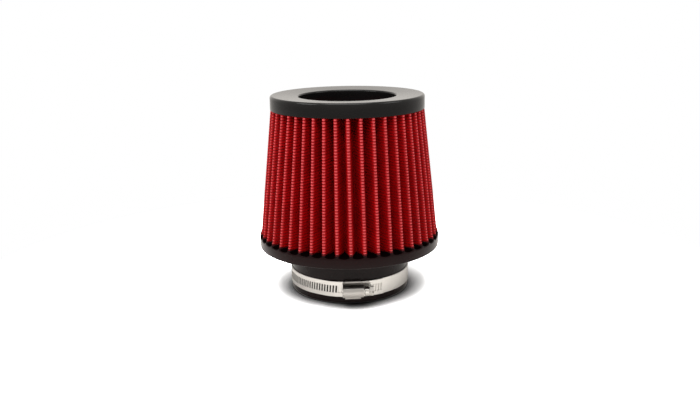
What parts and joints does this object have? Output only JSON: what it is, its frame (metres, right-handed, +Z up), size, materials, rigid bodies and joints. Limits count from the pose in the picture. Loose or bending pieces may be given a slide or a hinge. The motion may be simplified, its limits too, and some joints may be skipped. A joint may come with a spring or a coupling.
{
  "type": "cone air filter",
  "caption": "Clamp-on cone air filter: tapered pleated gauze between a moulded base and an open-topped cap, with an inverted inner cone and a worm-drive band clamp on the inlet neck.",
  "frame": {"origin": "centre of the inlet neck's foot, on the surface it stands on", "axes": "+Z up along the filter's axis towards the cap, the clamp's screw towards -Y with its head towards +X"},
  "size_m": [0.1524, 0.1524, 0.1651],
  "materials": {
    "base_urethane": "satin moulded urethane",
    "cap_urethane": "semi-gloss moulded urethane",
    "red_gauze": "oiled cotton gauze under a fine wire screen",
    "band_steel": "satin stainless strip",
    "screw_steel": "bright machined stainless"
  },
  "bodies": {
    "filter": {"base_flange": "base_urethane", "outer_pleats": "red_gauze", "top_cap": "cap_urethane", "inner_cone": "red_gauze", "inner_cap": "base_urethane", "clamp_band": "band_steel", "clamp_housing": "band_steel"},
    "screw": {"clamp_screw": "screw_steel"}
  },
  "joints": [
    {"name": "screw_turn", "type": "hinge", "parent": "filter", "child": "screw", "pos_m": [0, -0.05465, 0.01275], "axis": [1, 0, 0], "continuous": true}
  ]
}
